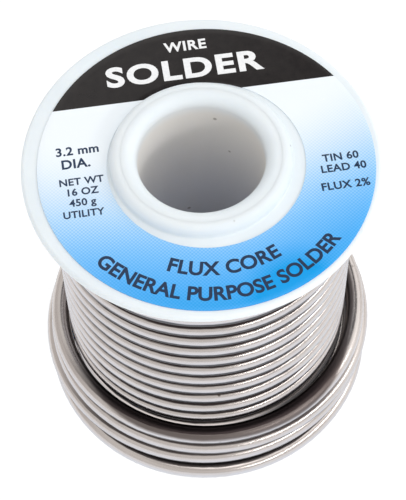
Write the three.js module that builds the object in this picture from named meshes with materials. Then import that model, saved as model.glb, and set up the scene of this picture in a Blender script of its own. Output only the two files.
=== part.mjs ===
// A one-pound spool of flux-cored solder wire.
// Millimetres, +Z up. The origin is the centre of the spool's lower end face, on the axis of the bore.
//
// Two moulded flanges sit on a plastic core tube, whose rounded ends stand flush in their raised hubs.
// The wire is wound on the tube in four layers. Its last turns have sprung loose and lie round the
// lowest part of the winding, on the bottom flange. A ring-shaped label is stuck on the top flange.
import * as THREE from "three";

// Flanges
const FLANGE_RADIUS = 28.575;
const FLANGE_THICKNESS = 1.5;
const RIM_ROUNDING = 0.6;
const HUB_RADIUS = 14.55;
const HUB_HEIGHT = 1.9;
const HUB_ROUNDING = 0.7;
const TRAVERSE = 54.8; // clear width for the winding, between the flanges

// Core tube
const BORE_RADIUS = 10.2;
const TUBE_RADIUS = 12.75;
const MOUTH_ROUNDING = 1.9;

// Label
const LABEL_OUTER_RADIUS = 26.74;
const LABEL_HOLE_RADIUS = 15.74;
const LABEL_THICKNESS = 0.12;
const LABEL_LIFT = 0.02;
const LABEL_CENTRE = [0.78, -0.56]; // it was stuck on slightly off the axis

// Wire
const WIRE_RADIUS = 3.175 / 2;
const LAYERS = 4;
const LAYER_SPACING = 2.9; // turns of one layer sink a little between those of the layer below
const OUTER_LAYER_RADIUS = 23.11; // to the middle of the wire
const FLUX_CORE_RADIUS = 0.5;
const FLUX_BORE_RADIUS = 0.8;

// Loose turns, from the bottom flange up
const LOOSE_TURN_RADII = [28.1, 27.7, 27.3, 26.8]; // to the middle of the wire
const LOOSE_TURN_RISE = 2.95;
const LOOSE_CENTRE = [0.4, -0.3];
const LOOSE_SECTION_RADIUS = 1.45; // a little under the wire's, so that the ring clears the winding

// The free end leaves the top loose turn behind the spool and springs outwards.
// Each row is: angle about the axis in degrees, distance from the axis, height above the top loose turn.
const FREE_END_ROUTE = [
  [96, 27.5, 3.3],
  [84, 27.7, 3.4],
  [72, 28.1, 3.7],
  [60, 28.8, 4.1],
  [48, 29.7, 4.6],
  [36, 30.8, 5.2],
];

// Clearance that keeps neighbouring solids apart, and how finely round shapes are faceted
const GAP = 0.3;
const ROUND_SEGMENTS = 48;
const ARC_STEPS = 3;
const WIRE_SIDES = 8;
const FREE_END_STEPS = 14;

const BOTTOM_INSIDE = HUB_HEIGHT + FLANGE_THICKNESS;
const TOP_INSIDE = BOTTOM_INSIDE + TRAVERSE;
const LABEL_PLANE = TOP_INSIDE + FLANGE_THICKNESS;
const SPOOL_HEIGHT = LABEL_PLANE + HUB_HEIGHT;

const PLASTIC = { color: 0xeaeef0, roughness: 0.35, metalness: 0 };
const SOLDER = { color: 0xc4c5c6, roughness: 0.25, metalness: 1 };
const PAPER = { color: 0x6fb9f2, roughness: 0.45, metalness: 0 };
const FLUX = { color: 0xc9963c, roughness: 0.3, metalness: 0 };

const spool = new THREE.Group();

function addPiece(name, geometry, finish) {
  const piece = new THREE.Mesh(geometry, new THREE.MeshStandardMaterial(finish));
  piece.name = name;
  spool.add(piece);
  return piece;
}

// Points of a quarter or part circle, as [radius, height] pairs of a section.
function arc(centreRadius, centreHeight, radius, fromDegrees, toDegrees, steps = ARC_STEPS) {
  return Array.from({ length: steps + 1 }, (_, i) => {
    const angle = THREE.MathUtils.degToRad(fromDegrees + ((toDegrees - fromDegrees) * i) / steps);
    return [centreRadius + radius * Math.cos(angle), centreHeight + radius * Math.sin(angle)];
  });
}

// A closed section, given counter-clockwise as [radius, height] pairs, turned round the Z axis.
function turned(section) {
  const closed = [...section, section[0]];
  const profile = closed.map(([radius, height]) => new THREE.Vector2(radius, height));
  return new THREE.LatheGeometry(profile, ROUND_SEGMENTS).rotateX(Math.PI / 2);
}

// The flange with its hub on the upper side, its inner face at height zero.
function flangeSection() {
  const rimCentre = FLANGE_RADIUS - RIM_ROUNDING;
  const hubTop = FLANGE_THICKNESS + HUB_HEIGHT;
  const holeRadius = TUBE_RADIUS + GAP;
  return [
    [holeRadius, 0],
    ...arc(rimCentre, RIM_ROUNDING, RIM_ROUNDING, -90, 0),
    ...arc(rimCentre, FLANGE_THICKNESS - RIM_ROUNDING, RIM_ROUNDING, 0, 90),
    [HUB_RADIUS, FLANGE_THICKNESS],
    ...arc(HUB_RADIUS - HUB_ROUNDING, hubTop - HUB_ROUNDING, HUB_ROUNDING, 0, 90),
    [holeRadius, hubTop],
  ];
}

function topFlange() {
  const flange = addPiece("top_flange", turned(flangeSection()), PLASTIC);
  flange.position.z = TOP_INSIDE;
}

function bottomFlange() {
  const flange = addPiece("bottom_flange", turned(flangeSection()), PLASTIC);
  flange.rotation.x = Math.PI;
  flange.position.z = BOTTOM_INSIDE;
}

// The tube's wall, with the mouths of the bore rounded over.
function coreTube() {
  const mouthCentre = BORE_RADIUS + MOUTH_ROUNDING;
  const section = [
    ...arc(mouthCentre, MOUTH_ROUNDING, MOUTH_ROUNDING, 180, 270),
    [TUBE_RADIUS, 0],
    [TUBE_RADIUS, SPOOL_HEIGHT],
    ...arc(mouthCentre, SPOOL_HEIGHT - MOUTH_ROUNDING, MOUTH_ROUNDING, 90, 180),
  ];
  addPiece("core_tube", turned(section), PLASTIC);
}

function label() {
  const section = [
    [LABEL_HOLE_RADIUS, 0],
    [LABEL_OUTER_RADIUS, 0],
    [LABEL_OUTER_RADIUS, LABEL_THICKNESS],
    [LABEL_HOLE_RADIUS, LABEL_THICKNESS],
  ];
  const ring = addPiece("face_label", turned(section), PAPER);
  ring.position.set(...LABEL_CENTRE, LABEL_PLANE + LABEL_LIFT);
}

// One plain ring for each layer of the winding, the innermost first.
function windingLayers() {
  const halfWall = (LAYER_SPACING - GAP) / 2;
  for (let layer = 1; layer <= LAYERS; layer += 1) {
    const middle = OUTER_LAYER_RADIUS - (LAYERS - layer) * LAYER_SPACING;
    const outer = layer === LAYERS ? middle + WIRE_RADIUS : middle + halfWall;
    const section = [
      [middle - halfWall, BOTTOM_INSIDE + GAP],
      [outer, BOTTOM_INSIDE + GAP],
      [outer, TOP_INSIDE - GAP],
      [middle - halfWall, TOP_INSIDE - GAP],
    ];
    addPiece(`wire_layer_${layer}`, turned(section), SOLDER);
  }
}

function looseTurnHeight(turn) {
  return BOTTOM_INSIDE + GAP + WIRE_RADIUS + turn * LOOSE_TURN_RISE;
}

// The loose turns lie on each other, so they make one ring with a bead for each turn.
function looseCoil() {
  const turns = LOOSE_TURN_RADII.map((radius, turn) => [radius, looseTurnHeight(turn)]);
  const bead = (from, to) => ([radius, height]) => arc(radius, height, LOOSE_SECTION_RADIUS, from, to);
  const section = [...turns.flatMap(bead(-80, 80)), ...turns.reverse().flatMap(bead(100, 260))];
  const coil = addPiece("wire_loose_coil", turned(section), SOLDER);
  coil.position.set(...LOOSE_CENTRE, 0);
}

function freeEndCurve() {
  const topTurn = looseTurnHeight(LOOSE_TURN_RADII.length - 1);
  const points = FREE_END_ROUTE.map(([degrees, distance, rise]) => {
    const angle = THREE.MathUtils.degToRad(degrees);
    return new THREE.Vector3(distance * Math.cos(angle), distance * Math.sin(angle), topTurn + rise);
  });
  return new THREE.CatmullRomCurve3(points);
}

function circle(radius, Outline) {
  const outline = new Outline();
  outline.absarc(0, 0, radius, 0, 2 * Math.PI, false);
  return outline;
}

function drawnAlong(curve, section) {
  return new THREE.ExtrudeGeometry(section, {
    steps: FREE_END_STEPS,
    extrudePath: curve,
    curveSegments: WIRE_SIDES / 2,
  });
}

// The cut end of the wire is hollow, with the stick of flux inside it.
function freeEnd() {
  const curve = freeEndCurve();
  const sheath = circle(WIRE_RADIUS, THREE.Shape);
  sheath.holes.push(circle(FLUX_BORE_RADIUS, THREE.Path));
  addPiece("wire_free_end", drawnAlong(curve, sheath), SOLDER);
  addPiece("flux_core", drawnAlong(curve, circle(FLUX_CORE_RADIUS, THREE.Shape)), FLUX);
}

topFlange();
bottomFlange();
coreTube();
label();
windingLayers();
looseCoil();
freeEnd();

export default spool;
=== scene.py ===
# A one-pound spool of flux-cored solder wire: its looks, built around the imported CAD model.
# Metres, +Z up. The origin is the centre of the spool's lower end face, on the axis of the bore.
import math

import bmesh
import bpy
import numpy as np
from mathutils import Matrix, Vector


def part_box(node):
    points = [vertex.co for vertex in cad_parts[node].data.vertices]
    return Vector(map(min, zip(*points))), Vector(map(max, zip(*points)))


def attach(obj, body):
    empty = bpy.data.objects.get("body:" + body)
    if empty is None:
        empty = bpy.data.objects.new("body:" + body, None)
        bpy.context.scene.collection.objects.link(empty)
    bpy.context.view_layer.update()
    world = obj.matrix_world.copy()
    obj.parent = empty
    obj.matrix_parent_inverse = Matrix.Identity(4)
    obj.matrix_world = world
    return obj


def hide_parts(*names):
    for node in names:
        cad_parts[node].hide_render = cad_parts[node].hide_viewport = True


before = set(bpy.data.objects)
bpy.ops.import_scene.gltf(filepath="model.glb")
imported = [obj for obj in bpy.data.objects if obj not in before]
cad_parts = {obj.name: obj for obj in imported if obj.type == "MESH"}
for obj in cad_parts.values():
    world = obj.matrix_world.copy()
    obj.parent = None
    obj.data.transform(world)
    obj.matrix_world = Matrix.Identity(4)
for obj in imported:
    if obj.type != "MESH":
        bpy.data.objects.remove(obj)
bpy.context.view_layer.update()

MM = 0.001


# ---------------------------------------------------------------- sizes from the frame
def top_of(node):
    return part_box(node)[1].z


def bottom_of(node):
    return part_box(node)[0].z


def radius_of(node):
    low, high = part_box(node)
    return (high.x - low.x) / 2


def middle_of(node):
    low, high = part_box(node)
    return (low + high) / 2


FLANGE_RADIUS = radius_of("top_flange")
TUBE_RADIUS = radius_of("core_tube")
SPOOL_HEIGHT = top_of("core_tube")
TOP_INSIDE = bottom_of("top_flange")
BOTTOM_INSIDE = top_of("bottom_flange")
LABEL_CENTRE = middle_of("face_label")
LABEL_RADIUS = radius_of("face_label")
LABEL_TOP = top_of("face_label")

FLANGE_THICKNESS = 1.5 * MM
HUB_RADIUS = 14.55 * MM
HUB_ROUNDING = 1.45 * MM
RIM_ROUNDING = 0.6 * MM
BORE_RADIUS = 10.2 * MM
MOUTH_ROUNDING = 1.9 * MM
LABEL_HOLE_RADIUS = 15.74 * MM
LABEL_THICKNESS = 0.12 * MM
LABEL_TILT = math.radians(7.2)
WIRE_DIAMETER = 3.175 * MM
WIRE_RADIUS = WIRE_DIAMETER / 2
FLUX_BORE_RADIUS = 0.8 * MM


# ---------------------------------------------------------------- camera
EYE = Vector((0.0, -0.15125, 0.28207))
TARGET = Vector((-0.0001, 0.0, 0.0323))
ROLL = math.radians(-1.5)
LENS = 122.4  # in millimetres, as the sensor is
SENSOR_WIDTH = 36.0


def make_camera():
    data = bpy.data.cameras.new("camera")
    data.lens = LENS
    data.sensor_width = SENSOR_WIDTH
    data.sensor_fit = "AUTO"
    data.clip_start = 0.01
    data.clip_end = 10.0
    camera = bpy.data.objects.new("camera", data)
    bpy.context.scene.collection.objects.link(camera)
    turn = (TARGET - EYE).to_track_quat("-Z", "Y").to_matrix().to_4x4()
    camera.matrix_world = Matrix.Translation(EYE) @ turn @ Matrix.Rotation(ROLL, 4, "Z")
    bpy.context.scene.camera = camera


make_camera()


# ---------------------------------------------------------------- the wire's route
RINGS_PER_TURN = 90
WIRE_SIDES = 16
EASING_RINGS = 17  # the route's corners are rounded over this many rings

# Distance of each wound layer from the axis, the innermost first
LAYER_RADII = [14.41 * MM, 17.31 * MM, 20.21 * MM, 23.11 * MM]
LOWEST = BOTTOM_INSIDE + WIRE_RADIUS
HIGHEST = TOP_INSIDE - WIRE_RADIUS

# Stations along the winding. Each is: turn, distance from the axis, height, lean to +X.
# A whole turn is at the front, and the wire goes clockwise as seen from above.
INNER_LAYERS = [
    (0.35, LAYER_RADII[0], LOWEST, 0.1 * MM),
    (14.35, LAYER_RADII[0], HIGHEST, 0.1 * MM),
    (14.85, LAYER_RADII[1], HIGHEST, 0.1 * MM),
    (29.45, LAYER_RADII[1], LOWEST, 0.1 * MM),
    (29.95, LAYER_RADII[2], LOWEST, 0.2 * MM),
    (44.55, LAYER_RADII[2], HIGHEST, 0.2 * MM),
    (45.05, LAYER_RADII[3], HIGHEST, 0.2 * MM),
]


def millimetres(*rows):
    """Rows of turn, distance from the axis, height and lean, with the last three in millimetres."""
    return [(turn, distance * MM, height * MM, lean * MM) for turn, distance, height, lean in rows]


# The outer layer opens up a little on its way down, and its last turns hang out on the right.
OUTER_LAYER = millimetres(
    (47, 23.11, 50.36, 0.2),
    (55, 23.11, 23.48, 0.2),
    (56, 23.11, 19.74, 0.2),
    (57, 23.11, 16.36, 0.2),
    (58, 23.11, 12.8, 0.2),
    (58.75, 23.2, 10.4, 1.0),
    (59.25, 23.2, 8.7, 0.7),
    (60.45, 23.3, 4.99, 0.5),
)

# Four loose turns round the bottom, the lowest first. They lie flat in front and climb behind.
LOOSE_TURNS = millimetres(
    (60.75, 27.6, 4.99, 0),
    (61, 28.95, 4.99, 0),
    (61.125, 28.2, 4.99, 0),
    (61.25, 26.4, 4.99, 0),
    (61.375, 26.6, 5.5, 0),
    (61.5, 26.9, 8.1, 0),
    (61.75, 27.7, 8.1, 0),
    (62, 27.2, 8.05, 0),
    (62.125, 27.4, 8.0, 0),
    (62.25, 27.5, 7.9, 0),
    (62.375, 27.3, 8.2, 0),
    (62.5, 27.2, 11.2, 0),
    (62.75, 28.2, 11.3, 0),
    (63, 26.85, 11.25, 0),
    (63.125, 26.65, 11.1, 0),
    (63.25, 26.3, 10.6, 0),
    (63.375, 26.4, 10.9, 0),
    (63.5, 26.9, 14.3, 0),
    (63.75, 27.15, 14.8, 0),
    (64, 26.5, 14.38, 0),
    (64.125, 26.25, 14.35, 0),
    (64.25, 26.1, 13.6, 0),
    (64.375, 26.0, 13.8, 0),
)

# The free end leaves the top turn behind the spool and springs outwards. Its points are the CAD's.
FREE_END = millimetres(
    (64.483, 27.5, 17.44, 0),
    (64.517, 27.7, 17.54, 0),
    (64.55, 28.1, 17.84, 0),
    (64.583, 28.8, 18.24, 0),
    (64.617, 29.7, 18.74, 0),
    (64.65, 30.8, 19.34, 0),
)


def eased(values):
    """A running mean, which rounds the corners and keeps both ends in place."""
    padded = np.pad(values, EASING_RINGS // 2, mode="reflect", reflect_type="odd")
    return np.convolve(padded, np.ones(EASING_RINGS) / EASING_RINGS, "valid")


def wire_route():
    """The turn number and the point of the wire's middle line, for each ring."""
    stations = np.array(INNER_LAYERS + OUTER_LAYER + LOOSE_TURNS + FREE_END)
    turns = stations[:, 0]
    count = int((turns[-1] - turns[0]) * RINGS_PER_TURN) + 1
    turn = np.linspace(turns[0], turns[-1], count)
    distance, height, lean = (eased(np.interp(turn, turns, stations[:, i])) for i in (1, 2, 3))
    angle = -math.pi / 2 - 2 * math.pi * turn
    return turn, np.stack([lean + distance * np.cos(angle), distance * np.sin(angle), height], 1)


# ---------------------------------------------------------------- mesh helpers
def new_piece(name, mesh, material):
    piece = bpy.data.objects.new(name, mesh)
    bpy.context.scene.collection.objects.link(piece)
    mesh.materials.append(material)
    mesh.shade_smooth()
    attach(piece, "root")
    return piece


def face_outwards(mesh):
    bm = bmesh.new()
    bm.from_mesh(mesh)
    bmesh.ops.recalc_face_normals(bm, faces=bm.faces)
    bm.to_mesh(mesh)
    bm.free()


def arc(centre_radius, centre_height, radius, start, end, steps):
    """Points of a part circle in a section, as (distance from the axis, height)."""
    points = []
    for i in range(steps + 1):
        angle = math.radians(start + (end - start) * i / steps)
        distance = centre_radius + radius * math.cos(angle)
        points.append((distance, centre_height + radius * math.sin(angle)))
    return points


def stretch(start, end, steps):
    """Points between two corners of a section, with both corners left out."""
    return [
        tuple(a + (b - a) * i / steps for a, b in zip(start, end))
        for i in range(1, steps)
    ]


def tube_faces(rings, sides):
    """Faces that join rings of vertices into a tube, with a flat face across each end."""
    faces = []
    for i in range(rings - 1):
        for j in range(sides):
            k = (j + 1) % sides
            faces.append((i * sides + j, i * sides + k, (i + 1) * sides + k, (i + 1) * sides + j))
    last = (rings - 1) * sides
    faces.append(tuple(range(sides)))
    faces.append(tuple(range(last, last + sides)))
    return faces


def turned(name, section, segments):
    """A closed section turned round the Z axis."""
    rows = len(section)
    vertices = []
    for i in range(segments):
        angle = 2 * math.pi * i / segments
        vertices += [(r * math.cos(angle), r * math.sin(angle), z) for r, z in section]
    faces = []
    for i in range(segments):
        a, b = i * rows, ((i + 1) % segments) * rows
        for j in range(rows):
            k = (j + 1) % rows
            faces.append((a + j, b + j, b + k, a + k))
    mesh = bpy.data.meshes.new(name)
    mesh.from_pydata(vertices, [], faces)
    face_outwards(mesh)
    return mesh


# ---------------------------------------------------------------- material helpers
# Places of the colour sockets on a Mix node, whose sockets share their names
COLOUR_A, COLOUR_B, MIXED_COLOUR = 6, 7, 2


class Nodes:
    """Short ways to add and join shader nodes in one material or world."""

    def __init__(self, tree):
        self.tree = tree

    def add(self, kind, **settings):
        node = self.tree.nodes.new("ShaderNode" + kind)
        for key, value in settings.items():
            setattr(node, key, value)
        return node

    def join(self, source, target):
        self.tree.links.new(source, target)

    def feed(self, socket, value):
        if isinstance(value, bpy.types.NodeSocket):
            self.join(value, socket)
        elif value is not None:
            socket.default_value = value

    def math(self, operation, a, b=None):
        node = self.add("Math", operation=operation)
        for socket, value in zip(node.inputs, (a, b)):
            self.feed(socket, value)
        return node.outputs[0]

    def vector(self, operation, a, b=None):
        node = self.add("VectorMath", operation=operation)
        self.feed(node.inputs[0], a)
        self.feed(node.inputs[1], b)
        return node.outputs["Value" if operation in ("LENGTH", "DOT_PRODUCT") else "Vector"]

    def span(self, value, low, high, to_low=0.0, to_high=1.0, smooth=False):
        node = self.add("MapRange", interpolation_type="SMOOTHSTEP" if smooth else "LINEAR", clamp=True)
        for name, number in zip(("Value", "From Min", "From Max", "To Min", "To Max"),
                                (value, low, high, to_low, to_high)):
            self.feed(node.inputs[name], number)
        return node.outputs["Result"]

    def mix(self, share, a, b):
        """The colour a where share is 0, and b where it is 1."""
        node = self.add("Mix", data_type="RGBA")
        self.feed(node.inputs["Factor"], share)
        self.feed(node.inputs[COLOUR_A], a)
        self.feed(node.inputs[COLOUR_B], b)
        return node.outputs[MIXED_COLOUR]

    def noise(self, place, scale, detail=2.0, roughness=0.5):
        node = self.add("TexNoise")
        self.feed(node.inputs["Vector"], place)
        node.inputs["Scale"].default_value = scale
        node.inputs["Detail"].default_value = detail
        node.inputs["Roughness"].default_value = roughness
        return node.outputs["Fac"]

    def specks(self, place, scale, size, density):
        """Small round spots: 1 on a spot and 0 elsewhere. size and density are from 0 to 1."""
        node = self.add("TexVoronoi", feature="F1")
        self.feed(node.inputs["Vector"], place)
        node.inputs["Scale"].default_value = scale
        near = self.span(node.outputs["Distance"], size * 0.6, size, 1.0, 0.0)
        chosen = self.math("LESS_THAN", self.separate(node.outputs["Color"])[0], density)
        return self.math("MULTIPLY", near, chosen)

    def separate(self, vector):
        node = self.add("SeparateXYZ")
        self.feed(node.inputs[0], vector)
        return node.outputs

    def ramp(self, value, stops):
        node = self.add("ValToRGB")
        self.feed(node.inputs[0], value)
        elements = node.color_ramp.elements
        while len(elements) < len(stops):
            elements.new(0.5)
        for element, (place, colour) in zip(elements, stops):
            element.position = place
            element.color = colour
        return node.outputs[0]

    def bump(self, height, distance, strength):
        node = self.add("Bump")
        node.inputs["Strength"].default_value = strength
        node.inputs["Distance"].default_value = distance
        self.feed(node.inputs["Height"], height)
        return node.outputs[0]

    def place(self):
        """The point on the object in metres, in the shared frame."""
        return self.add("TexCoord").outputs["Object"]

    def attribute(self, name):
        return self.add("Attribute", attribute_name=name).outputs["Vector"]


def srgb(red, green, blue):
    """A colour given as it looks on a screen, from 0 to 255, as linear light."""
    def linear(value):
        value /= 255
        return value / 12.92 if value <= 0.04045 else ((value + 0.055) / 1.055) ** 2.4
    return (linear(red), linear(green), linear(blue), 1.0)


def new_material(name):
    material = bpy.data.materials.new(name)
    material.use_nodes = True
    nodes = Nodes(material.node_tree)
    shader = next(n for n in material.node_tree.nodes if n.type == "BSDF_PRINCIPLED")
    return material, nodes, shader.inputs


# ---------------------------------------------------------------- colours
PLASTIC_LIGHT = srgb(234, 241, 245)
PLASTIC_DARK = srgb(228, 236, 241)
# Painted tint of the light in the bore: near its upper mouth, and far down
BORE_MOUTH_PAINTED_TINT = srgb(235, 233, 229)
BORE_DEEP_PAINTED_TINT = srgb(229, 231, 238)
PLASTIC_DUST = srgb(120, 112, 105)

# The upper side of the wire is painted warmer than its outer side: a painted reflection tint.
SOLDER_OUTER = srgb(208, 209, 216)
SOLDER_UPPER_PAINTED_TINT = srgb(208, 200, 195)
DRAW_LINE = srgb(180, 174, 172)
DULL_PATCH = srgb(192, 184, 178)
# Painted shade on the upper inner side of the top loose turn
PAINTED_INNER_SHADE = srgb(74, 62, 60)
# Painted shade where turns touch: on a turn's top, under the turn above, and on its underside
PAINTED_SHADE_ABOVE = srgb(46, 37, 38)
PAINTED_SHADE_BELOW = srgb(50, 53, 61)
WIRE_DUST = srgb(70, 60, 52)

FLUX_LIGHT = srgb(214, 160, 62)
FLUX_DARK = srgb(168, 108, 30)

# The print's colours, from bare paper to the fullest blue
BLUE_STEPS = [
    (0.0, srgb(243, 250, 255)),
    (0.15, srgb(212, 233, 252)),
    (0.3, srgb(176, 217, 251)),
    (0.5, srgb(124, 194, 250)),
    (0.7, srgb(84, 176, 246)),
    (0.95, srgb(10, 158, 233)),
]
BLACK_DEEP = srgb(26, 22, 22)
BLACK_WORN = srgb(36, 32, 31)
DARK_INK = (srgb(24, 50, 84), srgb(18, 42, 72))
WHITE_INK = (srgb(248, 249, 250), srgb(236, 238, 240))


# ---------------------------------------------------------------- materials
def plastic_material(name, inside_bore):
    """Milky moulded plastic, which light sinks into a little, with dust specks and scuffs."""
    material, nodes, shader = new_material(name)
    place = nodes.place()
    cloud = nodes.noise(place, 90.0, 3.0, 0.55)
    colour = nodes.mix(nodes.span(cloud, 0.35, 0.65), PLASTIC_LIGHT, PLASTIC_DARK)
    if inside_bore:
        # Inside the tube the plastic is painted warmer near the upper mouth and cooler far down: a
        # painted tint of the light in the bore.
        height = nodes.separate(place)[2]
        deep = nodes.span(height, SPOOL_HEIGHT - 0.5 * MM, SPOOL_HEIGHT - 4 * MM, smooth=True)
        deeper = nodes.span(height, SPOOL_HEIGHT - 5 * MM, SPOOL_HEIGHT - 25 * MM)
        colour = nodes.mix(deep, colour, nodes.mix(deeper, BORE_MOUTH_PAINTED_TINT, BORE_DEEP_PAINTED_TINT))
    dust = nodes.specks(place, 420.0, 0.16, 0.035)
    colour = nodes.mix(nodes.math("MULTIPLY", dust, 0.55), colour, PLASTIC_DUST)
    nodes.feed(shader["Base Color"], colour)
    scuff = nodes.noise(nodes.vector("MULTIPLY", place, (1.0, 6.0, 1.0)), 500.0, 4.0, 0.6)
    nodes.feed(shader["Roughness"], nodes.span(scuff, 0.3, 0.75, 0.52, 0.68))
    shader["Subsurface Weight"].default_value = 0.25
    shader["Subsurface Radius"].default_value = (1.0, 1.1, 1.25)
    shader["Subsurface Scale"].default_value = 1.2 * MM
    shader["IOR"].default_value = 1.45
    shader["Specular IOR Level"].default_value = 0.28
    grain = nodes.noise(place, 1500.0, 2.0, 0.5)
    orange_peel = nodes.noise(place, 260.0, 1.0, 0.4)
    height = nodes.math("ADD", nodes.math("MULTIPLY", grain, 0.3), orange_peel)
    nodes.feed(shader["Normal"], nodes.bump(height, 0.02 * MM, 0.6))
    return material


# The three kinds of painted shade on the wire: under the turn above, on the turn below, and on the
# upper inner side of the top loose turn. Each starts at an angle round the wire and deepens over its
# width. A minus sign means that it spreads downwards. It fades out again past its end angle. All are
# in degrees. The starts and the amounts, from 0 to 1, are those of a plain turn, and they are
# changed along the wire further down.
PAINTED_SHADE_STARTS = (45.0, 10.0, 100.0)
PAINTED_SHADE_WIDTHS = (9.0, -10.0, 30.0)
PAINTED_SHADE_ENDS = (140.0, -115.0, 150.0)
PAINTED_SHADE_AMOUNTS = (0.97, 0.92, 0.45)
SHELTERED_GLOW = 0.85


def solder_material():
    """Drawn tin-lead wire: lengthwise draw lines, oxide in patches, painted shade where turns touch and
    on the top loose turn's inner side, and a painted warm tint on the upper side.
    """
    material, nodes, shader = new_material("drawn_solder")
    along = nodes.attribute("along_wire")
    place = nodes.place()
    lengthwise = nodes.vector("MULTIPLY", along, (14.0, 1000.0, 1000.0))
    streaks = nodes.noise(lengthwise, 1.6, 5.0, 0.65)
    fine_streaks = nodes.noise(nodes.vector("MULTIPLY", along, (40.0, 1000.0, 1000.0)), 5.0, 3.0, 0.6)
    patches = nodes.noise(place, 150.0, 3.0, 0.6)
    # The angle round the wire: 0 on the outer side, 90 on top, with edges roughened by the draw lines
    _, outward, upward = nodes.separate(along)
    angle = nodes.math("DEGREES", nodes.math("ARCTAN2", upward, outward))
    angle = nodes.math("ADD", angle, nodes.span(fine_streaks, 0.3, 0.7, -3.0, 3.0))
    starts = nodes.separate(nodes.attribute("painted_shade_start"))
    amounts = nodes.separate(nodes.attribute("painted_shade_amount"))
    levels = []
    for amount, start, width, end in zip(amounts, starts, PAINTED_SHADE_WIDTHS, PAINTED_SHADE_ENDS):
        begin = nodes.span(nodes.math("SUBTRACT", angle, start), 0.0, width, smooth=True)
        fade = nodes.span(angle, end, end + 2 * width, 1.0, 0.0, smooth=True)
        levels.append(nodes.math("MULTIPLY", amount, nodes.math("MULTIPLY", begin, fade)))
    over, under, inner_shade = levels
    # A painted reflection tint: warm on the wire's upper side, cool on its outer side
    metal_and_painted_tint = nodes.mix(nodes.span(angle, 10.0, 40.0), SOLDER_OUTER, SOLDER_UPPER_PAINTED_TINT)
    colour = nodes.mix(nodes.span(streaks, 0.3, 0.7, 0.0, 0.2), metal_and_painted_tint, DRAW_LINE)
    colour = nodes.mix(nodes.span(patches, 0.5, 0.75, 0.0, 0.35), colour, DULL_PATCH)
    # Painted shade on the upper inner side of the top loose turn, strongest in front
    colour = nodes.mix(inner_shade, colour, PAINTED_INNER_SHADE)
    # Painted shade where turns touch, on the top and the underside of each turn
    colour = nodes.mix(over, colour, PAINTED_SHADE_ABOVE)
    colour = nodes.mix(under, colour, PAINTED_SHADE_BELOW)
    dust = nodes.specks(place, 520.0, 0.17, 0.05)
    dirt = nodes.math("MULTIPLY", dust, nodes.span(nodes.noise(place, 60.0, 2.0), 0.45, 0.6))
    colour = nodes.mix(nodes.math("MULTIPLY", dirt, 0.8), colour, WIRE_DUST)
    nodes.feed(shader["Base Color"], colour)
    shader["Metallic"].default_value = 1.0
    # A faint glow on the sheltered turns stands in for light that finds its way into the gap.
    lit = nodes.math("MULTIPLY", nodes.span(angle, 10.0, 20.0), nodes.span(angle, 52.0, 44.0))
    sheltered = nodes.add("Attribute", attribute_name="sheltered").outputs["Fac"]
    nodes.feed(shader["Emission Color"], colour)
    glow = nodes.math("MULTIPLY", nodes.math("MULTIPLY", lit, sheltered), SHELTERED_GLOW)
    nodes.feed(shader["Emission Strength"], glow)
    rough = nodes.span(fine_streaks, 0.3, 0.7, 0.16, 0.24)
    rough = nodes.math("ADD", rough, nodes.span(patches, 0.45, 0.8, 0.0, 0.12))
    # Where the shade is painted, the wire is also made rougher.
    shade_level = nodes.math("MAXIMUM", nodes.math("MAXIMUM", over, under), inner_shade)
    nodes.feed(shader["Roughness"], nodes.math("ADD", rough, nodes.math("MULTIPLY", shade_level, 0.2)))
    height = nodes.math("ADD", streaks, nodes.math("MULTIPLY", fine_streaks, 0.5))
    nodes.feed(shader["Normal"], nodes.bump(height, 0.008 * MM, 0.5))
    return material


def flux_material():
    """Amber rosin at the wire's cut end."""
    material, nodes, shader = new_material("rosin_flux")
    place = nodes.place()
    cloud = nodes.noise(place, 2500.0, 3.0, 0.6)
    nodes.feed(shader["Base Color"], nodes.mix(cloud, FLUX_LIGHT, FLUX_DARK))
    nodes.feed(shader["Roughness"], nodes.span(cloud, 0.3, 0.7, 0.15, 0.4))
    shader["Subsurface Weight"].default_value = 0.3
    shader["Subsurface Scale"].default_value = 0.5 * MM
    nodes.feed(shader["Normal"], nodes.bump(cloud, 0.04 * MM, 0.5))
    return material


BLUE_SIDE = math.radians(283)  # the side of the label where the blue is fullest
DEEPEST_BLUE = (12.6 * MM, -22.8 * MM, 0.0)  # from the label's middle
BLACK_CHORD = 13.6 * MM  # distance of the black part's straight edge from the label's middle
INK_EDGE = 0.03 * MM  # half the width over which that edge blurs
HALFTONE_PITCH = 0.42 * MM
DOT_CONTRAST = 0.45


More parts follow.
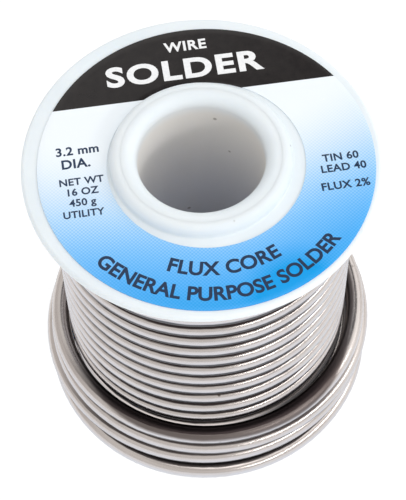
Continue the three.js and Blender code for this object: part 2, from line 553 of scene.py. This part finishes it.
def label_material():
    """Coated paper, printed in a halftone that deepens to blue on one side, with a black top."""
    material, nodes, shader = new_material("printed_label")
    place = nodes.vector("SUBTRACT", nodes.place(), tuple(LABEL_CENTRE))
    flat = nodes.vector("MULTIPLY", place, (1.0, 1.0, 0.0))
    distance = nodes.vector("LENGTH", flat)
    side = (math.cos(BLUE_SIDE), math.sin(BLUE_SIDE), 0.0)
    towards = nodes.math("DIVIDE", nodes.vector("DOT_PRODUCT", flat, side), distance)
    turn = nodes.span(towards, -0.42, 1.1, smooth=True)
    depth = nodes.span(distance, LABEL_HOLE_RADIUS, LABEL_RADIUS, 0.5, 0.9)
    tone = nodes.math("MULTIPLY", turn, depth)
    from_deepest = nodes.vector("LENGTH", nodes.vector("SUBTRACT", flat, DEEPEST_BLUE))
    tone = nodes.math("ADD", tone, nodes.span(from_deepest, 9 * MM, 1 * MM, 0.0, 0.27, smooth=True))
    # Halftone dots stand in rows at 45 degrees.
    waves = []
    for direction in ((1.0, 0.0, 0.0), (0.0, 1.0, 0.0)):
        step = nodes.vector("DOT_PRODUCT", flat, direction)
        phase = nodes.math("MULTIPLY", step, math.pi * math.sqrt(2) / HALFTONE_PITCH)
        waves.append(nodes.math("SINE", phase))
    dots = nodes.math("MULTIPLY", waves[0], waves[1])
    room = nodes.math("MULTIPLY", tone, nodes.math("SUBTRACT", 1.0, tone))
    dots = nodes.math("MULTIPLY", nodes.math("MULTIPLY", dots, room), DOT_CONTRAST)
    tone = nodes.math("ADD", tone, dots)
    blue = nodes.ramp(tone, BLUE_STEPS)
    up = (-math.sin(LABEL_TILT), math.cos(LABEL_TILT), 0.0)
    height_on_label = nodes.vector("DOT_PRODUCT", flat, up)
    ink = nodes.span(height_on_label, BLACK_CHORD - INK_EDGE, BLACK_CHORD + INK_EDGE)
    worn = nodes.noise(place, 700.0, 4.0, 0.6)
    black = nodes.mix(nodes.span(worn, 0.35, 0.7), BLACK_DEEP, BLACK_WORN)
    nodes.feed(shader["Base Color"], nodes.mix(ink, blue, black))
    fibres = nodes.noise(place, 1800.0, 4.0, 0.6)
    smudges = nodes.noise(place, 120.0, 3.0, 0.5)
    smooth = nodes.span(smudges, 0.3, 0.7, 0.15, 0.24)
    nodes.feed(shader["Roughness"], nodes.math("ADD", smooth, nodes.math("MULTIPLY", fibres, 0.06)))
    nodes.feed(shader["Normal"], nodes.bump(fibres, 0.01 * MM, 0.5))
    return material


def print_material(name, light, dark):
    """Printing ink, with the paper's fibres showing in it a little."""
    material, nodes, shader = new_material(name)
    place = nodes.place()
    fibres = nodes.noise(place, 1800.0, 4.0, 0.6)
    nodes.feed(shader["Base Color"], nodes.mix(nodes.span(fibres, 0.35, 0.65), light, dark))
    nodes.feed(shader["Roughness"], nodes.span(fibres, 0.3, 0.7, 0.28, 0.4))
    nodes.feed(shader["Normal"], nodes.bump(fibres, 0.01 * MM, 0.5))
    return material


FLOOR_GREYS = ((0.29, 0.29, 0.29, 1.0), (0.31, 0.31, 0.31, 1.0))
FLOOR_GLOW = 0.79


def floor_material():
    material, nodes, shader = new_material("white_floor")
    place = nodes.place()
    cloud = nodes.noise(place, 3.0, 2.0)
    nodes.feed(shader["Base Color"], nodes.mix(cloud, *FLOOR_GREYS))
    shader["Roughness"].default_value = 0.9
    shader["Specular IOR Level"].default_value = 0.1
    shader["Emission Color"].default_value = (1.0, 1.0, 1.0, 1.0)
    # The floor glows like a light table, but not under the spool's middle.
    away = nodes.vector("LENGTH", nodes.vector("MULTIPLY", place, (1.0, 1.0, 0.0)))
    nodes.feed(shader["Emission Strength"], nodes.span(away, 14 * MM, 24 * MM, 0.0, FLOOR_GLOW))
    return material


# ---------------------------------------------------------------- the wire
def wire_frame(route):
    """The level outward direction and the upward direction across the wire at each ring."""
    forward = np.gradient(route, axis=0)
    forward /= np.linalg.norm(forward, axis=1, keepdims=True)
    side = np.cross(forward, (0.0, 0.0, 1.0))
    side /= np.linalg.norm(side, axis=1, keepdims=True)
    outward = np.where(np.sum(side[:, :2] * route[:, :2], 1, keepdims=True) < 0, -side, side)
    upward = np.cross(forward, outward)
    upward = np.where(upward[:, 2:] < 0, -upward, upward)
    return forward, outward, upward


def rise(value, start, end):
    """0 before start, 1 after end, and a smooth rise between them. End may be below start."""
    share = np.clip((value - start) / (end - start), 0.0, 1.0)
    return share * share * (3 - 2 * share)


def wire_painted_shade(turn):
    """For each ring: where its painted shade starts, how much there is, and how sheltered the ring is.

    Starts are angles round the wire in degrees, 0 on the outer side and 90 on top. Starts and
    amounts have a column for each kind of painted shade.
    """
    over_start, under_start, inner_shade_start = PAINTED_SHADE_STARTS
    over, under, inner_shade = PAINTED_SHADE_AMOUNTS
    # Where round the spool the ring is. left runs from -1 on the right to 1 on the left.
    front = rise(np.cos(2 * math.pi * turn), 0.2, 0.85)
    left = np.sin(2 * math.pi * turn)
    far_left = rise(left, 0.72, 0.98)
    # Weight of the painted shade on the top loose turn's inner side: full in front, less on the left
    inner_shade_front = rise(np.cos(2 * math.pi * turn) - 0.25 * np.maximum(left, 0.0), 0.2, 0.85)
    far_right = rise(-left, 0.55, 0.9)
    near_top = rise(turn, 49.5, 46.0)  # the turns near the upper flange
    slack = rise(turn, 58.45, 58.6)  # from the last wound turns on, which carry no such painted shade
    loose = rise(turn, 60.55, 60.65)  # the loose turns
    lowest = rise(turn, 61.5, 61.4)  # up to the lowest loose turn
    raised = rise(turn, 61.4, 61.6)  # from the second loose turn on
    last = rise(turn, 63.4, 63.6)  # the uppermost loose turn
    starts = np.stack([
        over_start - 6.0 * near_top + 6.0 * far_right + loose * (7.0 + 15.0 * lowest) + 8.0 * last,
        under_start + 3.0 * near_top - 4.0 * loose,
        inner_shade_start + 14.0 * left - 95.0 * inner_shade_front,
    ], 1)
    # Amounts of painted shade: the grooves' shade fades on the far left and right, and the top loose
    # turn's inner shade is strongest in front.
    amounts = np.stack([
        (over - 0.78 * far_left - 0.45 * far_right) * (1 - slack) + 0.9 * front * loose,
        (under - 0.82 * far_left - 0.5 * far_right) * (1 - slack) + 0.85 * front * raised,
        (inner_shade + 0.35 * inner_shade_front + 0.25 * far_right) * last,
    ], 1)
    # The last wound turns lie in the gap behind the loose ones, which is wide on the right.
    in_gap = rise(turn, 57.5, 57.9) * rise(turn, 60.6, 60.4)
    return starts, amounts, in_gap * (0.12 + 0.88 * rise(left, -0.6, 0.0))


WIRE_END_EDGE = 0.12 * MM  # how far the edges at the wire's two ends are cut back
HOLLOW_DEPTH = 2.5 * MM  # how far into the free end the wire is drawn hollow


def wire_mesh(turn, route):
    """A tube of rings round the route, with a plain inner end and a hollow, clean-cut free end."""
    forward, outward, upward = wire_frame(route)
    last_ring = len(route) - 1
    edge = WIRE_END_EDGE
    # Each ring is: the route point that it stands on, its radius, its shift along the wire
    rings = [(0, 0.5 * WIRE_RADIUS, -edge), (0, WIRE_RADIUS - edge, -edge), (0, WIRE_RADIUS, 0.0)]
    rings += [(i, WIRE_RADIUS, 0.0) for i in range(1, last_ring)]
    rings += [
        (last_ring, WIRE_RADIUS, 0.0),
        (last_ring, WIRE_RADIUS - edge, edge),
        (last_ring, FLUX_BORE_RADIUS + edge, edge),
        (last_ring, FLUX_BORE_RADIUS, 0.0),
        (last_ring, FLUX_BORE_RADIUS, -HOLLOW_DEPTH),
    ]
    index = np.array([i for i, _, _ in rings])
    size = np.array([r for _, r, _ in rings])[:, None, None]
    shift = np.array([s for _, _, s in rings])[:, None]
    centre = route[index] + forward[index] * shift
    angle = 2 * math.pi * np.arange(WIRE_SIDES) / WIRE_SIDES
    across = (outward[index][:, None, :] * np.cos(angle)[None, :, None]
              + upward[index][:, None, :] * np.sin(angle)[None, :, None])
    vertices = (centre[:, None, :] + across * size).reshape(-1, 3)
    lengths = np.concatenate([[0.0], np.cumsum(np.linalg.norm(np.diff(route, axis=0), axis=1))])
    along = np.zeros((len(rings), WIRE_SIDES, 3))
    along[:, :, 0] = (lengths[index] + shift[:, 0])[:, None]
    along[:, :, 1] = WIRE_RADIUS * np.cos(angle)[None, :]
    along[:, :, 2] = WIRE_RADIUS * np.sin(angle)[None, :]

    mesh = bpy.data.meshes.new("wire")
    mesh.from_pydata(vertices.tolist(), [], tube_faces(len(rings), WIRE_SIDES))
    places = mesh.attributes.new("along_wire", "FLOAT_VECTOR", "POINT")
    places.data.foreach_set("vector", along.astype(np.float32).ravel())
    # Each ring's painted shade, and the strength of its painted glow
    starts, amounts, sheltered = wire_painted_shade(turn[index])
    for name, values in (("painted_shade_start", starts), ("painted_shade_amount", amounts)):
        attribute = mesh.attributes.new(name, "FLOAT_VECTOR", "POINT")
        attribute.data.foreach_set("vector", np.repeat(values, WIRE_SIDES, 0).astype(np.float32).ravel())
    attribute = mesh.attributes.new("sheltered", "FLOAT", "POINT")
    attribute.data.foreach_set("value", np.repeat(sheltered, WIRE_SIDES).astype(np.float32))
    face_outwards(mesh)
    return mesh


FLUX_LENGTH = 2.4 * MM
FLUX_RADIUS = 0.985 * FLUX_BORE_RADIUS  # a little play, so that flux and wire don't touch
FLUX_SIDES = 24
FLUX_WOBBLE = 0.05 * MM  # unevenness of the broken end


def flux_mesh(route):
    """The stick of flux in the free end: it stands back from the cut and is broken off unevenly."""
    forward, outward, upward = wire_frame(route)
    axis, side, up = forward[-1], outward[-1], upward[-1]
    tip = route[-1]
    # Each ring is: its shift along the wire from the cut, its share of the radius, its wobble
    rings = [
        (-FLUX_LENGTH, 0.9, 0.0),
        (-FLUX_LENGTH * 0.97, 1.0, 0.0),
        (-FLUX_LENGTH * 0.5, 1.0, 0.0),
        (-0.35 * MM, 1.0, FLUX_WOBBLE),
        (-0.28 * MM, 0.9, FLUX_WOBBLE),
        (-0.22 * MM, 0.62, FLUX_WOBBLE),
        (-0.2 * MM, 0.3, FLUX_WOBBLE),
    ]
    vertices = []
    for shift, share, wobble in rings:
        for j in range(FLUX_SIDES):
            angle = 2 * math.pi * j / FLUX_SIDES
            point = tip + axis * (shift + wobble * math.sin(3 * angle + 1.0))
            across = side * math.cos(angle) + up * math.sin(angle)
            vertices.append(tuple(point + across * FLUX_RADIUS * share))
    mesh = bpy.data.meshes.new("flux_stick")
    mesh.from_pydata(vertices, [], tube_faces(len(rings), FLUX_SIDES))
    face_outwards(mesh)
    return mesh


def make_wire():
    turn, route = wire_route()
    wire = new_piece("wire", wire_mesh(turn, route), solder_material())
    flux = new_piece("flux_stick", flux_mesh(route), flux_material())
    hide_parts("wire_layer_1", "wire_layer_2", "wire_layer_3", "wire_layer_4",
                "wire_loose_coil", "wire_free_end")
    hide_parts("flux_core")


# ---------------------------------------------------------------- the spool
SPOOL_SEGMENTS = 192
SEAM = 0.003 * MM  # half the width of the joint between tube and flange
SEAM_LIP = 0.006 * MM  # rounding of the edges at that joint
HUB_FOOT = 0.35 * MM  # fillet where the hub rises from the flange


def flange_section():
    """The flange with its hub on the upper side, its inner face at height zero."""
    rim = FLANGE_RADIUS - RIM_ROUNDING
    hub_top = SPOOL_HEIGHT - TOP_INSIDE
    hole = TUBE_RADIUS + SEAM
    foot = HUB_RADIUS + HUB_FOOT
    section = [(hole, 0.0)]
    section += stretch((hole, 0.0), (rim, 0.0), 12)
    section += arc(rim, RIM_ROUNDING, RIM_ROUNDING, -90, 0, 8)
    section += arc(rim, FLANGE_THICKNESS - RIM_ROUNDING, RIM_ROUNDING, 0, 90, 8)
    section += stretch((rim, FLANGE_THICKNESS), (foot, FLANGE_THICKNESS), 12)
    section += arc(foot, FLANGE_THICKNESS + HUB_FOOT, HUB_FOOT, 270, 180, 5)
    section += arc(HUB_RADIUS - HUB_ROUNDING, hub_top - HUB_ROUNDING, HUB_ROUNDING, 0, 90, 10)
    section += arc(hole + SEAM_LIP, hub_top - SEAM_LIP, SEAM_LIP, 90, 180, 4)
    return section


def make_flange(name, node, matrix, material):
    mesh = turned(name, flange_section(), SPOOL_SEGMENTS)
    mesh.transform(matrix)
    flange = new_piece(name, mesh, material)
    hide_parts(node)


def make_tube(material):
    mouth = BORE_RADIUS + MOUTH_ROUNDING
    mouth_height = SPOOL_HEIGHT - MOUTH_ROUNDING
    outer = TUBE_RADIUS - SEAM
    lip = SEAM_LIP
    section = arc(mouth, MOUTH_ROUNDING, MOUTH_ROUNDING, 180, 270, 14)
    section += arc(outer - lip, lip, lip, 270, 360, 4)
    section += stretch((outer, lip), (outer, SPOOL_HEIGHT - lip), 20)
    section += arc(outer - lip, SPOOL_HEIGHT - lip, lip, 0, 90, 4)
    section += arc(mouth, mouth_height, MOUTH_ROUNDING, 90, 180, 14)
    section += stretch((BORE_RADIUS, mouth_height), (BORE_RADIUS, MOUTH_ROUNDING), 20)
    mesh = turned("tube", section, SPOOL_SEGMENTS)
    tube = new_piece("tube", mesh, material)
    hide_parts("core_tube")


def make_spool():
    plastic = plastic_material("milky_plastic", inside_bore=False)
    tube_plastic = plastic_material("tube_plastic", inside_bore=True)
    make_flange("upper_flange", "top_flange", Matrix.Translation((0, 0, TOP_INSIDE)), plastic)
    turned_over = Matrix.Translation((0, 0, BOTTOM_INSIDE)) @ Matrix.Rotation(math.pi, 4, "X")
    make_flange("lower_flange", "bottom_flange", turned_over, plastic)
    make_tube(tube_plastic)


# ---------------------------------------------------------------- the label
LABEL_SEGMENTS = 256
LABEL_EDGE = 0.03 * MM  # rounding of the label's two upper edges


def make_label():
    edge = LABEL_EDGE
    low = LABEL_TOP - LABEL_THICKNESS
    section = [(LABEL_HOLE_RADIUS, low)]
    section += stretch((LABEL_HOLE_RADIUS, low), (LABEL_RADIUS, low), 10)
    section += [(LABEL_RADIUS, low)]
    section += arc(LABEL_RADIUS - edge, LABEL_TOP - edge, edge, 0, 90, 3)
    section += stretch((LABEL_RADIUS - edge, LABEL_TOP), (LABEL_HOLE_RADIUS + edge, LABEL_TOP), 10)
    section += arc(LABEL_HOLE_RADIUS + edge, LABEL_TOP - edge, edge, 90, 180, 3)
    mesh = turned("label_ring", section, LABEL_SEGMENTS)
    mesh.transform(Matrix.Translation((LABEL_CENTRE.x, LABEL_CENTRE.y, 0)))
    label = new_piece("label_ring", mesh, label_material())
    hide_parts("face_label")


INK_THICKNESS = 0.012 * MM
ARCH_STEPS = 128
ARCH_SPAN = 200.0  # degrees of circle under an arched line, more than the words need


def ink_piece(name, text, material):
    """Turns a text object into a thin closed mesh that lies on the label."""
    bpy.context.view_layer.update()
    evaluated = text.evaluated_get(bpy.context.evaluated_depsgraph_get())
    mesh = bpy.data.meshes.new_from_object(evaluated)
    mesh.materials.clear()
    mesh.transform(text.matrix_world)
    bpy.data.objects.remove(text)
    bm = bmesh.new()
    bm.from_mesh(mesh)
    bmesh.ops.remove_doubles(bm, verts=bm.verts, dist=1e-7)
    bmesh.ops.recalc_face_normals(bm, faces=bm.faces)
    bm.to_mesh(mesh)
    bm.free()
    lift = LABEL_TOP + INK_THICKNESS * 0.5
    turn = Matrix.Rotation(LABEL_TILT, 4, "Z")
    mesh.transform(Matrix.Translation((LABEL_CENTRE.x, LABEL_CENTRE.y, lift)) @ turn)
    mesh.name = name
    new_piece(name, mesh, material)
    mesh.shade_flat()


def text_object(words, size, weight, spacing):
    """A text object, made bolder by the weight, a share of its size."""
    data = bpy.data.curves.new("words", "FONT")
    data.body = words
    data.size = size
    data.offset = weight * size
    data.extrude = INK_THICKNESS * 0.5
    data.space_character = spacing
    data.align_x = "CENTER"
    data.resolution_u = 6
    text = bpy.data.objects.new("words", data)
    bpy.context.scene.collection.objects.link(text)
    return text


def straight_text(name, words, x, y, size, material, weight, spacing, stretch_x=1.0):
    text = text_object(words, size, weight, spacing)
    text.matrix_world = Matrix.Translation((x, y, 0)) @ Matrix.Diagonal((stretch_x, 1, 1, 1))
    ink_piece(name, text, material)


def arched_text(name, words, radius, size, material, middle, weight, spacing):
    """Words along the bottom of a circle round the label's middle, each letter's head inwards."""
    curve = bpy.data.curves.new("arch", "CURVE")
    curve.dimensions = "2D"
    spline = curve.splines.new("POLY")
    spline.points.add(ARCH_STEPS)
    for i in range(ARCH_STEPS + 1):
        angle = math.radians(middle + ARCH_SPAN * (i / ARCH_STEPS - 0.5))
        spline.points[i].co = (radius * math.cos(angle), radius * math.sin(angle), 0, 1)
    arch = bpy.data.objects.new("arch", curve)
    bpy.context.scene.collection.objects.link(arch)
    text = text_object(words, size, weight, spacing)
    text.data.follow_curve = arch
    ink_piece(name, text, material)
    bpy.data.objects.remove(arch)


def make_print():
    dark = print_material("dark_ink", *DARK_INK)
    white = print_material("white_ink", *WHITE_INK)
    straight_text("print_title", "SOLDER", -1.0 * MM, 17.0 * MM, 5.4 * MM, white, 0.035, 1.12, 1.2)
    straight_text("print_subtitle", "WIRE", 0.0, 22.6 * MM, 2.7 * MM, white, 0.03, 1.1)
    # Each row is: piece, words, place on the label in millimetres, letter size
    left_lines = (
        ("print_size", "3.2 mm", -19.9, 4.75, 2.2),
        ("print_size_word", "DIA.", -20.4, 2.2, 2.4),
        ("print_net", "NET WT", -19.9, -1.0, 1.8),
        ("print_ounces", "16 OZ", -20.0, -2.95, 1.8),
        ("print_grams", "450 g", -20.1, -4.95, 1.8),
        ("print_grade", "UTILITY", -20.2, -7.05, 1.75),
    )
    right_lines = (
        ("print_tin", "TIN 60", 21.1, -2.75, 1.9),
        ("print_lead", "LEAD 40", 21.2, -4.8, 1.9),
        ("print_flux", "FLUX 2%", 20.9, -8.1, 1.95),
    )
    for name, words, x, y, size in left_lines + right_lines:
        straight_text(name, words, x * MM, y * MM, size * MM, dark, 0.026, 1.05)
    arched = 3.3 * MM
    arched_text("print_inner_arch", "FLUX CORE", 20.6 * MM, arched, dark, -90.0, 0.03, 1.08)
    arched_text("print_outer_arch", "GENERAL PURPOSE SOLDER", 25.0 * MM, arched, dark, -92.0, 0.03, 1.04)


# ---------------------------------------------------------------- studio
FLOOR_HALF = 3.0
LIGHT_TARGET = Vector((0.0, 0.0, 0.03))
WORLD_STRENGTH = 0.83

# The world's three greys, from the horizon to straight up
SKY_STEPS = [
    (0.0, (0.90, 0.90, 0.91, 1.0)),
    (0.5, (1.01, 0.99, 0.97, 1.0)),
    (1.0, (1.0, 1.0, 1.0, 1.0)),
]
# Round patches, which the wire mirrors. Each is: its direction, the cosines at which it begins and
# is full, its colour. In order: the camera's side, the far top, the far right, the right, the left.
SKY_PATCHES = (
    ((0.0, -0.47, 0.88), 0.84, 0.93, (0.82, 0.80, 0.79, 1.0)),
    ((0.25, 0.45, 0.857), 0.935, 0.97, (0.12, 0.12, 0.13, 1.0)),
    ((0.66, 0.50, 0.56), 0.90, 0.97, (1.5, 1.5, 1.5, 1.0)),
    ((0.92, 0.05, 0.38), 0.90, 0.98, (1.7, 1.7, 1.7, 1.0)),
    ((-0.90, 0.20, 0.38), 0.75, 0.95, (0.82, 0.80, 0.79, 1.0)),
)


def make_floor():
    mesh = bpy.data.meshes.new("floor")
    half = FLOOR_HALF
    corners = [(-half, -half, 0), (half, -half, 0), (half, half, 0), (-half, half, 0)]
    mesh.from_pydata(corners, [], [(0, 1, 2, 3)])
    mesh.materials.append(floor_material())
    floor = bpy.data.objects.new("floor", mesh)
    bpy.context.scene.collection.objects.link(floor)


def make_world():
    world = bpy.data.worlds.new("studio")
    bpy.context.scene.world = world
    world.use_nodes = True
    nodes = Nodes(world.node_tree)
    background = next(n for n in world.node_tree.nodes if n.type == "BACKGROUND")
    direction = nodes.add("TexCoord").outputs["Generated"]
    height = nodes.separate(direction)[2]
    sky = nodes.ramp(nodes.span(height, 0.0, 1.0), SKY_STEPS)
    for axis, start, end, shade in SKY_PATCHES:
        towards = nodes.vector("DOT_PRODUCT", direction, axis)
        sky = nodes.mix(nodes.span(towards, start, end, smooth=True), sky, shade)
    nodes.feed(background.inputs["Color"], sky)
    background.inputs["Strength"].default_value = WORLD_STRENGTH


def softbox(name, place, width, height, power):
    data = bpy.data.lights.new(name, "AREA")
    data.shape = "RECTANGLE"
    data.size = width
    data.size_y = height
    data.energy = power
    light = bpy.data.objects.new(name, data)
    bpy.context.scene.collection.objects.link(light)
    light.location = place
    light.rotation_mode = "QUATERNION"
    light.rotation_quaternion = (LIGHT_TARGET - Vector(place)).to_track_quat("-Z", "Y")


def make_lights():
    softbox("overhead", (0.12, -0.08, 0.74), 0.6, 0.5, 1.25)
    softbox("right_strip", (0.33, -0.23, 0.23), 0.6, 0.03, 0.5)


make_wire()
make_spool()
make_label()
make_print()
make_floor()
make_world()
make_lights()
bpy.context.scene.view_settings.view_transform = "Standard"
